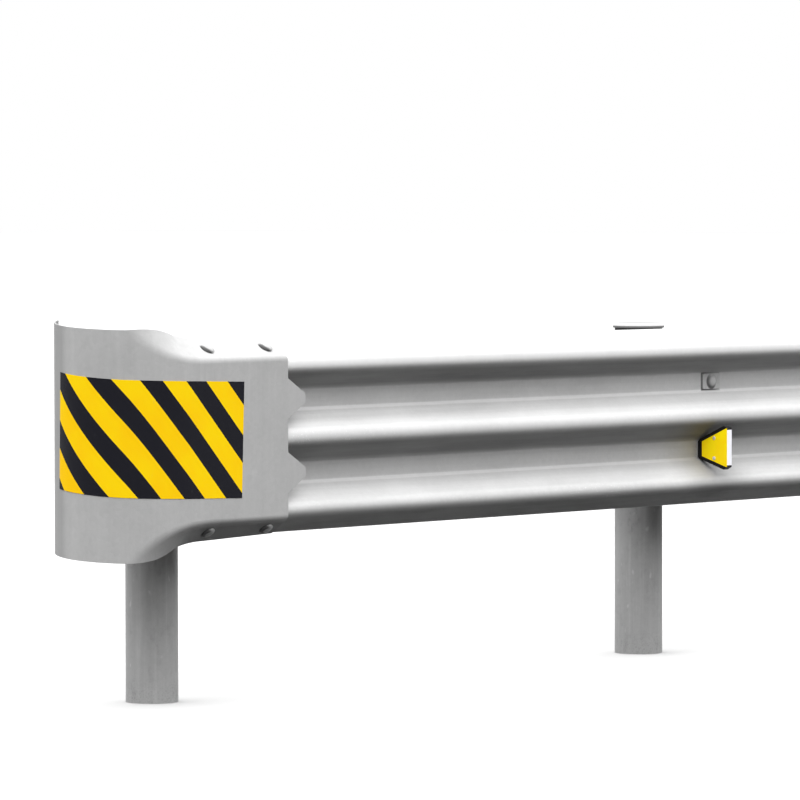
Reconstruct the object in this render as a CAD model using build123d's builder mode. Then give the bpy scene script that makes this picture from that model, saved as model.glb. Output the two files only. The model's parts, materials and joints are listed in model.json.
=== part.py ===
from build123d import *
import math
import os

# Highway guardrail section: a three-wave steel rail on round posts, with a rounded terminal at its near end.
# Millimetres. The origin is the centre of the first post's foot at ground level.
# +X runs along the rail away from the terminal, +Y away from the road, +Z up.

# --- Line of the barrier ---
BAY = 2000  # post spacing
BAYS = 4
BOARD_BAYS = 2  # bays that one rail board spans
LAP = 320  # how far two boards lie over each other
RAIL_MID = 705  # height of the rail's middle wave

# --- Posts and caps ---
POST_RADIUS = 70
POST_WALL = 4.5
CAP_RISE = 10  # the cap's crown over the rail's upper edge
CAP_HEIGHT = 15
CAP_WALL = 3
CAP_GAP = 2  # radial play between cap and post
CAP_ROUND = 10  # shoulder radius

# --- Block-outs, folded plate boxes between post and rail ---
BLOCK_DEPTH = 196
BLOCK_WIDTH = 178
BLOCK_HEIGHT = 400
BLOCK_FACE = 104  # width of the plate that carries the rail
BLOCK_WAIST = 90  # distance from the rail plate to the widest corners
BLOCK_WALL = 4.5
SEAT_ANGLE = 40  # half angle of the saddle around the post
SEAT_GAP = 0.3  # between the saddle and the post

# --- Rail section ---
SHEET = 4  # rail and terminal plate
WAVE_PITCH = 194
WAVE_DEPTH = 81  # valley floor to crest, front face
VALLEY_FLAT = 44.6  # flat floor of a valley, between its bends
CREST_RADIUS = 28
VALLEY_RADIUS = 6.5
CREST_EDGE = 59  # outer crest to the rail's edge
LIP_TILT = 10  # degrees between the edge lip and the horizontal
LIP_LENGTH = 14
LIP_RADIUS = 12
NEST_GAP = 0.3  # between two plates that lie on each other
FLARE = 240  # length over which a board's end steps out over the next board
FLARE_CLEAR = 10  # between the end of that step and the next board

# --- Splice and post bolts ---
SPLICE_SPACING = 216  # along the rail, centred on the post
SPLICE_HOLE = 11  # radius
SPLICE_OUT = 40  # height of a splice hole above or below its crest
SLOT_LENGTH = 64
SLOT_WIDTH = 20
BOLT_RADIUS = 8
BOLT_HOLE = 9  # radius
BUTTON_RADIUS = 19
BUTTON_HEIGHT = 9
NUT_FLATS = 24
NUT_HEIGHT = 13
THREAD_END = 8  # bolt past the nut
PLATE_LENGTH = 76  # rectangular washer
PLATE_CLEAR = 0.3  # washer to the bends beside the valley floor
PLATE_THICK = 5
PLATE_ROUND = 4  # corner radius
DISC_RADIUS = 20  # round washer behind the post
DISC_THICK = 3

# --- Terminal ---
FREE_EDGE = 153  # X of the terminal's end on the rail
NECK_START = -90  # X where the flanges start to open
CURL_START = -205  # X where the plate starts to curl
CURL_RADIUS = 206  # to the middle of the plate
NECK_ANGLE = 50  # part of the curl in which the flanges run out
CURL_END = 150  # angle at which the plate ends behind the nose
NOSE_PAST = 46  # the nose plate past the rail's edge
NOSE_DROP = 9  # its middle below the rail's, where the neck ends
NOSE_RISE = 20  # how far its edges rise again towards its end
FOLD_BEND = 17  # bend radius between face and flange, to the middle of the plate
FLANGE_EDGE = 65  # flange width at the free edge
FLANGE_NECK = 81  # flange width where the neck starts
NECK_STEPS = 14
NOSE_STEPS = 12
FOLD_END = 6  # plate left outside the fold line where it runs out
FOLD_SHARE = 0.42  # half of the bend's share of that plate
TAB_ROOT = 107
TAB_TIP = 20
TAB_REACH = 77  # how far a tab runs past the free edge
TAB_TURN = 8  # degrees that a tab is bent into its valley
TAB_RISE = 4.5  # a tab's middle over its valley's
TAB_BEND = 8

# --- Striped marking on the terminal ---
MARK_THICK = 0.6
MARK_GAP = 0.3
MARK_START = 13  # its straight end, leftwards from the first post
MARK_LENGTH = 600
MARK_HEIGHT = 302
MARK_TURN = 1.8  # degrees that it climbs from its straight end, which is centred on the rail
MARK_SPARE = 20  # length past its end before it is trimmed
MARK_STEPS = 12

# --- Delineator in the lower valley at the second post ---
MARKER_POST = 1
MARKER_BEHIND = 49  # its middle lies this far before the post bolt
MARKER_THICK = 20
MARKER_WALL = 2.5
MARKER_REACH = 111  # depth from the valley floor
MARKER_NARROW = 56  # across its narrow end
MARKER_WIDE = 126  # across its wide end, at the cut corners
MARKER_FACE = 113  # across its front
MARKER_CUT = 13  # depth of the cut corners at its front
MARKER_LIFT = 7  # how far its front stands over its seat
MARKER_SHOULDER = 6  # height of the chamfer where it stands on its foot
MARKER_RIM = 10  # dark rim around the yellow face
FACE_THICK = 1
STRIP_THICK = 1
FOOT_THICK = 3
FOOT_PAST = 30  # foot past the post bolt

RAIL_HALF = WAVE_PITCH + CREST_EDGE  # middle wave to the rail's edge
CAP_TOP = RAIL_MID + RAIL_HALF + CAP_RISE
RAIL_BACK = -(POST_RADIUS + BLOCK_DEPTH)  # Y of the block-out's rail plate
RAIL_FRONT = RAIL_BACK - SHEET  # Y of the valley floor's front face
NEST = SHEET + NEST_GAP  # how far a board lies outside the one under it

# The slopes join the flat floors to the crests. With t for the tangent of half their angle from the upright
# plane, (depth - 2 * radii) * t**2 + (pitch - flat) * t = depth.
UNBENT = WAVE_DEPTH - 2 * (CREST_RADIUS + VALLEY_RADIUS)
SLOPE_RUN = WAVE_PITCH - VALLEY_FLAT
HALF_TANGENT = 2 * WAVE_DEPTH / (SLOPE_RUN + math.sqrt(SLOPE_RUN**2 + 4 * UNBENT * WAVE_DEPTH))
SLOPE = 2 * math.degrees(math.atan(HALF_TANGENT))  # about 55 degrees
SLOPE_SIN = math.sin(math.radians(SLOPE))
SLOPE_COS = math.cos(math.radians(SLOPE))
WAVES = (-WAVE_PITCH, 0, WAVE_PITCH)
BOLT_LEVELS = (RAIL_MID - WAVE_PITCH / 2, RAIL_MID + WAVE_PITCH / 2)
POSTS = [number * BAY for number in range(BAYS + 1)]
ROUTE_X = Vector(1, 0, 0)
CREST_CORNER = WAVE_DEPTH + CREST_RADIUS * (1 / SLOPE_COS - 1)  # where the slopes beside a crest would meet
PLATE_WIDTH = VALLEY_FLAT - 2 * PLATE_CLEAR
THROUGH = 3 * SHEET  # depth of a cut that passes right through the sheets

os.makedirs("parts", exist_ok=True)


def save(piece, name):
    """Label a finished piece and write it."""
    piece.part.label = name
    export_step(piece.part, f"parts/{name}.step")


def along(height, reach):
    """Sketch point in the rail's cross plane, at a height over its middle and a reach towards the road."""
    return (RAIL_FRONT - reach, RAIL_MID + height)


def face_line(outwards):
    """Corners and bend radii of a rail face that lies a given distance outside the front face."""
    crest = WAVE_DEPTH + outwards + (CREST_RADIUS + outwards) * (1 / SLOPE_COS - 1)
    run = (crest - outwards) * SLOPE_COS / SLOPE_SIN
    lip = math.radians(LIP_TILT)
    lip_drop = LIP_LENGTH * math.cos(lip)
    bend_height = RAIL_HALF - LIP_LENGTH * math.sin(lip)
    bend_reach = CREST_CORNER - (bend_height - WAVE_PITCH) * SLOPE_SIN / SLOPE_COS
    middle = math.radians((90 - LIP_TILT + SLOPE) / 2)
    shift = outwards / math.cos(math.radians((90 - LIP_TILT - SLOPE) / 2))
    bend = (bend_height + shift * math.sin(middle), bend_reach + shift * math.cos(middle))
    end = (RAIL_HALF + outwards * math.cos(lip), bend_reach - lip_drop + outwards * math.sin(lip))
    upper = [
        (0, crest),
        (run, outwards),
        (WAVE_PITCH - run, outwards),
        (WAVE_PITCH, crest),
        bend,
        end,
    ]
    radii = [CREST_RADIUS, -VALLEY_RADIUS, -VALLEY_RADIUS, CREST_RADIUS, LIP_RADIUS]
    radii = [abs(radius + outwards) for radius in radii]
    lower = [(-height, reach) for height, reach in reversed(upper[1:])]
    return [along(*point) for point in lower + upper], radii[:0:-1] + radii


def rail_section(x, inner):
    """Closed section of a rail board at x, its back face lying the given distance outside the front face."""
    with BuildSketch(Plane.YZ.offset(x)) as section:
        with BuildLine():
            back_points, back_radii = face_line(inner)
            front_points, front_radii = face_line(inner + SHEET)
            back = FilletPolyline(*back_points, radius=back_radii)
            front = FilletPolyline(*front_points, radius=front_radii)
            Line(back @ 0, front @ 0)
            Line(back @ 1, front @ 1)
        make_face()
    return section.sketch


def slope_plane(x, wave, side):
    """Plane on a rail slope at its row of splice holes, facing out of the slope."""
    reach = CREST_CORNER - SPLICE_OUT * SLOPE_SIN / SLOPE_COS
    y, z = along(wave + side * SPLICE_OUT, reach)
    return Plane(origin=(x, y, z), x_dir=ROUTE_X, z_dir=(0, -SLOPE_COS, side * SLOPE_SIN))


def splice_holes(x, slopes):
    """Cut the pairs of splice holes around x on the given slopes."""
    for wave, side in slopes:
        with Locations(slope_plane(x, wave, side)):
            with GridLocations(SPLICE_SPACING, 1, 2, 1):
                Hole(SPLICE_HOLE, depth=THROUGH)


ALL_SLOPES = [(wave, side) for wave in WAVES for side in (-1, 1)]
OUTER_SLOPES = [(-WAVE_PITCH, -1), (WAVE_PITCH, 1)]


def crosswise(x, y, z):
    """Plane at a point, facing away from the road."""
    return Plane(origin=(x, y, z), x_dir=(-1, 0, 0), z_dir=(0, 1, 0))


# --- Posts: round tubes from the ground up, each with a pressed cap ---
POST_TOP = CAP_TOP - CAP_WALL
for number, x in enumerate(POSTS, start=1):
    with BuildPart() as post:
        with BuildSketch():
            with Locations((x, 0)):
                Circle(POST_RADIUS)
                Circle(POST_RADIUS - POST_WALL, mode=Mode.SUBTRACT)
        extrude(amount=POST_TOP)
        with Locations(*[crosswise(x, 0, level) for level in BOLT_LEVELS]):
            Hole(BOLT_HOLE, depth=2 * POST_RADIUS)
    save(post, f"post_{number}")

for number, x in enumerate(POSTS, start=1):
    with BuildPart() as cap:
        with BuildSketch(Plane.XY.offset(CAP_TOP - CAP_HEIGHT)):
            with Locations((x, 0)):
                Circle(POST_RADIUS + CAP_GAP + CAP_WALL)
        extrude(amount=CAP_HEIGHT)
        crown = cap.faces().sort_by(Axis.Z)[-1]
        fillet(crown.edges(), radius=CAP_ROUND)
        with BuildSketch(Plane.XY.offset(CAP_TOP - CAP_HEIGHT)):
            with Locations((x, 0)):
                Circle(POST_RADIUS + CAP_GAP)
        extrude(amount=CAP_HEIGHT - CAP_WALL, mode=Mode.SUBTRACT)
    save(cap, f"post_cap_{number}")


# --- Block-outs: six-sided folded boxes with a saddle on the post ---
def block_outline(x):
    """Plan outline of a block-out, from the saddle round to the plate that carries the rail."""
    saddle = POST_RADIUS + SEAT_GAP
    side = math.radians(SEAT_ANGLE)
    seat_x = saddle * math.sin(side)
    seat_y = -saddle * math.cos(side)
    waist_y = RAIL_BACK + BLOCK_WAIST
    ThreePointArc((x - seat_x, seat_y), (x, -saddle), (x + seat_x, seat_y))
    Polyline(
        (x + seat_x, seat_y),
        (x + BLOCK_WIDTH / 2, waist_y),
        (x + BLOCK_FACE / 2, RAIL_BACK),
        (x - BLOCK_FACE / 2, RAIL_BACK),
        (x - BLOCK_WIDTH / 2, waist_y),
        (x - seat_x, seat_y),
    )


for number, x in enumerate(POSTS, start=1):
    with BuildPart() as block:
        with BuildSketch(Plane.XY.offset(RAIL_MID - BLOCK_HEIGHT / 2)):
            with BuildLine():
                block_outline(x)
            outline = make_face()
            offset(outline, amount=-BLOCK_WALL, kind=Kind.INTERSECTION, mode=Mode.SUBTRACT)
        extrude(amount=BLOCK_HEIGHT)
        with Locations(*[crosswise(x, RAIL_BACK, level) for level in BOLT_LEVELS]):
            Hole(BOLT_HOLE, depth=2 * BLOCK_WALL)
        with Locations(*[crosswise(x, -POST_RADIUS, level) for level in BOLT_LEVELS]):
            Hole(BOLT_HOLE, depth=2 * BLOCK_WALL)
    save(block, f"blockout_{number}")


# --- Rail boards: each laps over the next one at every second post ---
BOARDS = BAYS // BOARD_BAYS
BOARD_RUN = BOARD_BAYS * BAY

for number in range(1, BOARDS + 1):
    start = (number - 1) * BOARD_RUN - LAP / 2
    end = start + BOARD_RUN + LAP
    overlaps = number < BOARDS
    step_out = end - LAP - FLARE_CLEAR
    with BuildPart() as board:
        plain_end = step_out - FLARE if overlaps else end
        extrude(rail_section(start, -SHEET), amount=plain_end - start)
        if overlaps:
            loft([rail_section(plain_end, -SHEET), rail_section(step_out, NEST_GAP)], ruled=True)
            extrude(rail_section(step_out, NEST_GAP), amount=end - step_out)
        for splice in (start + LAP / 2, end - LAP / 2):
            splice_holes(splice, ALL_SLOPES)
        for x in POSTS[(number - 1) * BOARD_BAYS : number * BOARD_BAYS + 1]:
            with BuildSketch(crosswise(x, RAIL_FRONT, RAIL_MID)):
                with GridLocations(1, WAVE_PITCH, 1, 2):
                    SlotOverall(SLOT_LENGTH, SLOT_WIDTH)
            extrude(amount=THROUGH, both=True, mode=Mode.SUBTRACT)
    save(board, f"rail_board_{number}")


# --- Front bolts: button heads on rectangular washers in the valleys, nuts inside the block-outs ---
def button_bolt(x, z, seat, tip):
    """Half section of a button-head bolt that lies along Y, from its seat to its tip."""
    rim = (x + BUTTON_RADIUS, seat)
    crown = (x, seat - BUTTON_HEIGHT)
    with BuildSketch(Plane.XY.offset(z)) as section:
        with BuildLine():
            TangentArc(crown, rim, tangent=(1, 0))
            Polyline(rim, (x + BOLT_RADIUS, seat), (x + BOLT_RADIUS, tip), (x, tip), crown)
        make_face()
    return section.sketch


def hexagon(x, y, z):
    """Outline of a nut whose near face lies at y."""
    with BuildSketch(crosswise(x, y, z)) as outline:
        RegularPolygon(NUT_FLATS / 2, 6, major_radius=False)
    return outline.sketch


def rail_face_at(number, level):
    """Y of the outermost plate in the valley at a post."""
    lapped = number % BOARD_BAYS == 0 and 0 < number < BAYS
    face = RAIL_FRONT - (NEST if lapped else 0)
    if number == MARKER_POST and level == BOLT_LEVELS[0]:
        face -= FOOT_THICK
    return face


for number, x in enumerate(POSTS):
    with BuildPart() as plates:
        for level in BOLT_LEVELS:
            with BuildSketch(crosswise(x, rail_face_at(number, level), level)):
                RectangleRounded(PLATE_LENGTH, PLATE_WIDTH, radius=PLATE_ROUND)
                Circle(BOLT_HOLE, mode=Mode.SUBTRACT)
            extrude(amount=-PLATE_THICK)
    save(plates, f"bolt_plates_{number + 1}")

    with BuildPart() as bolts:
        inside = RAIL_BACK + BLOCK_WALL
        for level in BOLT_LEVELS:
            seat = rail_face_at(number, level) - PLATE_THICK
            bolt = button_bolt(x, level, seat, inside + NUT_HEIGHT + THREAD_END)
            revolve(bolt, axis=Axis((x, 0, level), (0, 1, 0)))
            extrude(hexagon(x, inside, level), amount=NUT_HEIGHT)
    save(bolts, f"rail_bolts_{number + 1}")

# --- Rear bolts: through each post into the block-out's saddle ---
for number, x in enumerate(POSTS, start=1):
    with BuildPart() as bolts:
        inside = -(POST_RADIUS + SEAT_GAP + BLOCK_WALL) - NUT_HEIGHT
        seat = POST_RADIUS + DISC_THICK
        shank = seat + NUT_HEIGHT - inside + 2 * THREAD_END
        for level in BOLT_LEVELS:
            with BuildSketch(crosswise(x, inside - THREAD_END, level)):
                Circle(BOLT_RADIUS)
            extrude(amount=shank)
            with BuildSketch(crosswise(x, POST_RADIUS, level)):
                Circle(DISC_RADIUS)
            extrude(amount=DISC_THICK)
            extrude(hexagon(x, seat, level), amount=NUT_HEIGHT)
            extrude(hexagon(x, inside, level), amount=NUT_HEIGHT)
    save(bolts, f"post_bolts_{number}")


# --- Terminal: a plate over the crests, whose flanges fold back, then open out and curl into the nose ---
FACE_MID = along(0, WAVE_DEPTH + NEST_GAP + SHEET / 2)[0]
CURL_MIDDLE = FACE_MID + CURL_RADIUS
FOLD_CORNER = (CREST_RADIUS + NEST_GAP + SHEET / 2) * math.tan(math.radians(SLOPE / 2))  # past the crest
FOLD_REACH = FOLD_BEND * math.tan(math.radians(SLOPE / 2))
FACE_HALF = WAVE_PITCH + FOLD_CORNER - FOLD_REACH  # half of the flat face between the bends
NOSE_HALF = RAIL_HALF + NOSE_PAST
NECK_END = CURL_RADIUS * math.radians(NECK_ANGLE) - CURL_START  # leftwards from the first post
NOSE_END = CURL_RADIUS * math.radians(CURL_END) - CURL_START


def curl_angle(travel):
    """Angle in degrees that the plate has curled through, at a distance leftwards from the first post."""
    return math.degrees(max(0, travel + CURL_START) / CURL_RADIUS)


def face_plane(travel, lift):
    """Cross plane of the terminal at a distance leftwards from the first post, its x axis outwards."""
    angle = curl_angle(travel)
    sine = math.sin(math.radians(angle))
    cosine = math.cos(math.radians(angle))
    x = max(CURL_START, -travel) - CURL_RADIUS * sine
    y = CURL_MIDDLE - CURL_RADIUS * cosine
    return Plane(origin=(x, y, RAIL_MID + lift), x_dir=(-sine, -cosine, 0), z_dir=(-cosine, sine, 0))


def nose_rise(travel):
    """How far the nose has risen over the neck's end."""
    share = (curl_angle(travel) - NECK_ANGLE) / (CURL_END - NECK_ANGLE)
    return NOSE_RISE * max(0, share) ** 1.5


def folded_edge(side, fold, face_half, reach, flange):
    """One face of the plate, moved sideways from its middle, from the centre up to the flange's edge."""
    turn = math.radians(fold)
    corner = face_half + reach
    tip = reach + flange
    out = (side * math.cos(turn), side * math.sin(turn))
    bend_end = (out[0] - reach * math.sin(turn), corner + reach * math.cos(turn) + out[1])
    flange_end = (out[0] - tip * math.sin(turn), corner + tip * math.cos(turn) + out[1])
    points = [(side, face_half), (side, corner + side * math.tan(turn / 2)), bend_end]
    return points, flange_end


def plate_section(plane, fold, face_half, reach, flange):
    """Closed section of the terminal plate on a plane."""
    with BuildSketch(plane) as section:
        with BuildLine():
            ends = []
            for side in (-SHEET / 2, SHEET / 2):
                bend, tip = folded_edge(side, fold, face_half, reach, flange)
                lower = [(across, -height) for across, height in bend]
                lower_tip = (tip[0], -tip[1])
                Line(lower_tip, lower[-1])
                Bezier(*reversed(lower))
                Line(lower[0], bend[0])
                Bezier(*bend)
                Line(bend[-1], tip)
                ends.append((lower_tip, tip))
            Line(ends[0][0], ends[1][0])
            Line(ends[0][1], ends[1][1])
        make_face()
    return section.sketch


def neck_section(share):
    """Section of the neck at a share of its length, where the fold line runs out to the plate's edge."""
    travel = -NECK_START + share * (NECK_END + NECK_START)
    plane = face_plane(travel, -NOSE_DROP * share**2)
    full_half = FACE_HALF + 2 * FOLD_REACH + FLANGE_NECK
    half = full_half + (NOSE_HALF - full_half) * share
    opened = share**3.5
    face_half = FACE_HALF + (NOSE_HALF - FOLD_END - FACE_HALF) * opened
    first = FOLD_REACH / (full_half - FACE_HALF)
    reach = (half - face_half) * (first + (FOLD_SHARE - first) * opened)
    return plate_section(plane, SLOPE * (1 - share**2), face_half, reach, half - face_half - 2 * reach)


def nose_section(share):
    """Section of the flat nose plate at a share of its length."""
    travel = NECK_END + share * (NOSE_END - NECK_END)
    with BuildSketch(face_plane(travel, nose_rise(travel) - NOSE_DROP)) as section:
        Rectangle(SHEET, 2 * NOSE_HALF)
    return section.sketch


# The two tabs at the free edge are tapered and bent a little way into the valleys.
tab_start = (FREE_EDGE - TAB_BEND, FACE_MID)
tab_end = (FREE_EDGE + TAB_REACH, FACE_MID + TAB_REACH * math.tan(math.radians(TAB_TURN)))
with BuildPart() as tabs:
    with BuildSketch(Plane.XY.offset(BOLT_LEVELS[0] - TAB_ROOT)):
        with BuildLine():
            FilletPolyline(tab_start, (FREE_EDGE, FACE_MID), tab_end, radius=TAB_BEND)
        trace(line_width=SHEET)
    extrude(amount=WAVE_PITCH + 2 * TAB_ROOT)
    with BuildSketch(Plane.XZ.offset(-FACE_MID)):
        for level in BOLT_LEVELS:
            middle = level + TAB_RISE
            with BuildLine():
                Polyline(
                    (tab_start[0], middle - TAB_ROOT / 2),
                    (FREE_EDGE, middle - TAB_ROOT / 2),
                    (tab_end[0] + SHEET, middle - TAB_TIP / 2),
                    (tab_end[0] + SHEET, middle + TAB_TIP / 2),
                    (FREE_EDGE, middle + TAB_ROOT / 2),
                    (tab_start[0], middle + TAB_ROOT / 2),
                    close=True,
                )
            make_face()
    extrude(amount=WAVE_DEPTH, both=True, mode=Mode.INTERSECT)


with BuildPart() as terminal_end:
    free_end = plate_section(face_plane(-FREE_EDGE, 0), SLOPE, FACE_HALF, FOLD_REACH, FLANGE_EDGE)
    loft([free_end, neck_section(0)], ruled=True)
    loft([neck_section(step / NECK_STEPS) for step in range(NECK_STEPS + 1)])
    loft([nose_section(step / NOSE_STEPS) for step in range(NOSE_STEPS + 1)])
    add(tabs.part)
    splice_holes(0, OUTER_SLOPES)
save(terminal_end, "terminal_end")


# --- Striped marking: a thin sheet on the terminal's face and round its nose ---
MARK_MIDDLE = SHEET / 2 + MARK_GAP + MARK_THICK / 2


def marking_point(along_sheet, across):
    """Point of the sheet, at a length from its straight end and a height over its middle line."""
    sine = math.sin(math.radians(MARK_TURN))
    cosine = math.cos(math.radians(MARK_TURN))
    travel = MARK_START + along_sheet * cosine - across * sine
    return face_plane(travel, along_sheet * sine + across * cosine + nose_rise(travel)).origin


def marking_edge(across):
    """Long edge of the sheet, seen across the nose."""
    points = [marking_point(MARK_LENGTH * step / MARK_STEPS, across) for step in range(MARK_STEPS + 1)]
    seen = [across_nose.to_local_coords(point) for point in points]
    return Spline(*[(point.X, point.Y) for point in seen])


across_nose = Plane(origin=(CURL_START, CURL_MIDDLE, RAIL_MID), x_dir=(1, -1, 0), z_dir=(-1, -1, 0))
with BuildPart() as marking:
    with BuildSketch(Plane.XY.offset(RAIL_MID)):
        with BuildLine():
            Line((0, FACE_MID - MARK_MIDDLE), (CURL_START, FACE_MID - MARK_MIDDLE))
            wrap = curl_angle(MARK_START + MARK_LENGTH + MARK_SPARE)
            CenterArc((CURL_START, CURL_MIDDLE), CURL_RADIUS + MARK_MIDDLE, 270, -wrap)
        trace(line_width=MARK_THICK)
    extrude(amount=MARK_HEIGHT, both=True)
    with BuildSketch(across_nose):
        with BuildLine():
            upper = marking_edge(MARK_HEIGHT / 2)
            lower = marking_edge(-MARK_HEIGHT / 2)
            Line(upper @ 0, lower @ 0)
            Line(upper @ 1, lower @ 1)
        make_face()
    extrude(amount=2 * CURL_RADIUS, both=True, mode=Mode.INTERSECT)
save(marking, "terminal_marking")

# --- Delineator: a thick trapezoid across the lower valley on a foot under the post bolt ---
MARKER_X = POSTS[MARKER_POST] - MARKER_BEHIND
MARKER_LEVEL = BOLT_LEVELS[0]
MARKER_SEAT = RAIL_FRONT - FOOT_THICK
MARKER_FRONT = RAIL_FRONT - MARKER_REACH
MARKER_NECK = MARKER_SEAT - MARKER_SHOULDER
MARKER_CORNER = MARKER_FRONT + MARKER_CUT
LEAN = (MARKER_WIDE - MARKER_NARROW) / 2 / (MARKER_NECK - MARKER_CORNER)


def marker_outline(stations):
    """Outline across the valley from (y, half its height) stations, its middle rising towards the front."""
    slope = MARKER_LIFT / (MARKER_SEAT - MARKER_FRONT)
    middles = [(y, MARKER_LEVEL + (MARKER_SEAT - y) * slope, half) for y, half in stations]
    upper = [(y, middle + half) for y, middle, half in middles]
    lower = [(y, middle - half) for y, middle, half in middles]
    Polygon(*upper, *reversed(lower), align=None)


with BuildPart() as marker_body:
    with BuildSketch(Plane.YZ.offset(MARKER_X - MARKER_THICK / 2)) as housing:
        marker_outline([
            (MARKER_SEAT, PLATE_WIDTH / 2),
            (MARKER_NECK, MARKER_NARROW / 2),
            (MARKER_CORNER, MARKER_WIDE / 2),
            (MARKER_FRONT, MARKER_FACE / 2),
        ])
    extrude(amount=MARKER_THICK)
    with BuildSketch(Plane.YZ.offset(MARKER_X - MARKER_THICK / 2 + MARKER_WALL)):
        offset(housing.sketch_local, amount=-MARKER_WALL, kind=Kind.INTERSECTION)
    extrude(amount=MARKER_THICK, mode=Mode.SUBTRACT)
save(marker_body, "delineator_body")

with BuildPart() as marker_face:
    start = MARKER_NECK - MARKER_RIM
    start_half = MARKER_NARROW / 2 + MARKER_RIM * LEAN - MARKER_RIM * math.hypot(1, LEAN)
    front_half = start_half + (start - MARKER_FRONT) * LEAN
    with BuildSketch(Plane.YZ.offset(MARKER_X - MARKER_THICK / 2)):
        marker_outline([(start, start_half), (MARKER_FRONT, min(front_half, MARKER_FACE / 2))])
    extrude(amount=-FACE_THICK)
save(marker_face, "delineator_face")

with BuildPart() as marker_strip:
    with BuildSketch(Plane.XZ.offset(-MARKER_FRONT)):
        with Locations((MARKER_X, MARKER_LEVEL + MARKER_LIFT)):
            Rectangle(MARKER_THICK, MARKER_FACE)
    extrude(amount=STRIP_THICK)
save(marker_strip, "delineator_strip")

with BuildPart() as marker_foot:
    start = MARKER_X - MARKER_THICK / 2
    end = POSTS[MARKER_POST] + FOOT_PAST
    with BuildSketch(Plane.XZ.offset(-RAIL_FRONT)):
        with Locations(((start + end) / 2, MARKER_LEVEL)):
            Rectangle(end - start, PLATE_WIDTH)
        with Locations((POSTS[MARKER_POST], MARKER_LEVEL)):
            Circle(BOLT_HOLE, mode=Mode.SUBTRACT)
    extrude(amount=FOOT_THICK)
save(marker_foot, "delineator_foot")
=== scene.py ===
import json
import math

import bpy
from bpy.props import FloatProperty, FloatVectorProperty, IntProperty, PointerProperty
from bpy.types import Operator, Panel, PropertyGroup
from mathutils import Matrix, Vector


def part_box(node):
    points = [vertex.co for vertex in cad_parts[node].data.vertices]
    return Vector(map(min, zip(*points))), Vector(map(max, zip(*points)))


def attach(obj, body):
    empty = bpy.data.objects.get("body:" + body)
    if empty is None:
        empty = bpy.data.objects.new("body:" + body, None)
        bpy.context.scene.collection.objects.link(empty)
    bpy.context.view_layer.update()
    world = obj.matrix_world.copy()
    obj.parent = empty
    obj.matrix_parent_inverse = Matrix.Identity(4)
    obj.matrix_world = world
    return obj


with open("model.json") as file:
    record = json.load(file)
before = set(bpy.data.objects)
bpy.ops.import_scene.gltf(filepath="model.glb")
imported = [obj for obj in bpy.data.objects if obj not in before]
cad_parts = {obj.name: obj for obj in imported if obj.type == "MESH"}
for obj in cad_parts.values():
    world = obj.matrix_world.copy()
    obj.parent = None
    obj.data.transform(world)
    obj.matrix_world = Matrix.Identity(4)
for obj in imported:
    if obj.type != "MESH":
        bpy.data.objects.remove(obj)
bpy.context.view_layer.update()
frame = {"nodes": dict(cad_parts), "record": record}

bl_info = {
    "name": "Highway guardrail section",
    "version": (1, 0, 0),
    "blender": (4, 5, 0),
    "location": "3D View > Sidebar > Guardrail",
    "description": "Finishes, splice bolts and rivets for a three-wave guardrail with a rounded terminal",
    "category": "Object",
}

# Lines of the barrier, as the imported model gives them.
RAIL_LOW, RAIL_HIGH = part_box("rail_board_2")
RAIL_MIDDLE = (RAIL_LOW.z + RAIL_HIGH.z) / 2
PLATE_LOW, PLATE_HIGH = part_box("terminal_end")
MARKER_LOW, MARKER_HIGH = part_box("delineator_face")
CAP_LOW, CAP_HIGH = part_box("post_cap_1")
POST_MIDDLES = [sum(corner.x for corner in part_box(f"post_{number}")) / 2 for number in range(1, 6)]
SPLICE_ROWS = [mount for mount in frame["record"]["mounts"] if mount["kind"] == "bolt_pattern"]


# --- Sizes and colours ---
class GuardrailZinc(PropertyGroup):
    """Tones and grain of the galvanised steel."""

    rail: FloatVectorProperty(
        name="Rail", description="Mean colour of the rolled rail boards",
        default=(0.50, 0.50, 0.50), min=0, max=1, size=3, subtype="COLOR",
    )
    terminal: FloatVectorProperty(
        name="Terminal", description="Mean colour of the terminal plate",
        default=(0.43, 0.43, 0.43), min=0, max=1, size=3, subtype="COLOR",
    )
    post: FloatVectorProperty(
        name="Posts", description="Mean colour of posts and block-outs",
        default=(0.40, 0.40, 0.40), min=0, max=1, size=3, subtype="COLOR",
    )
    bolt: FloatVectorProperty(
        name="Bolts", description="Mean colour of bolts, nuts and washers",
        default=(0.45, 0.45, 0.45), min=0, max=1, size=3, subtype="COLOR",
    )
    spangle: FloatProperty(
        name="Spangle", description="Width of one zinc crystal",
        default=0.011, min=0.001, precision=4, subtype="DISTANCE", unit="LENGTH",
    )
    roughness: FloatProperty(
        name="Roughness", description="Mean roughness of the zinc",
        default=0.5, min=0, max=1, subtype="FACTOR",
    )
    metallic: FloatProperty(
        name="Metallic", description="How far the bare metal shows through the dull film on the zinc",
        default=0.01, min=0, max=1, subtype="FACTOR",
    )
    cap: FloatVectorProperty(
        name="Caps", description="Mean colour of the newer, paler post caps",
        default=(0.74, 0.74, 0.74), min=0, max=1, size=3, subtype="COLOR",
    )
    # Share of the colour left where the marks lay the thickest dirt and painted shade.
    grime_and_shade: FloatProperty(
        name="Grime", description="How much of the zinc's brightness is left where grime lies thickest",
        default=0.22, min=0, max=1, subtype="FACTOR",
    )
    pitch: FloatProperty(
        name="Wave pitch", description="From one crest of the rail to the next",
        default=0.194, min=0.01, precision=4, subtype="DISTANCE", unit="LENGTH",
    )


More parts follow.
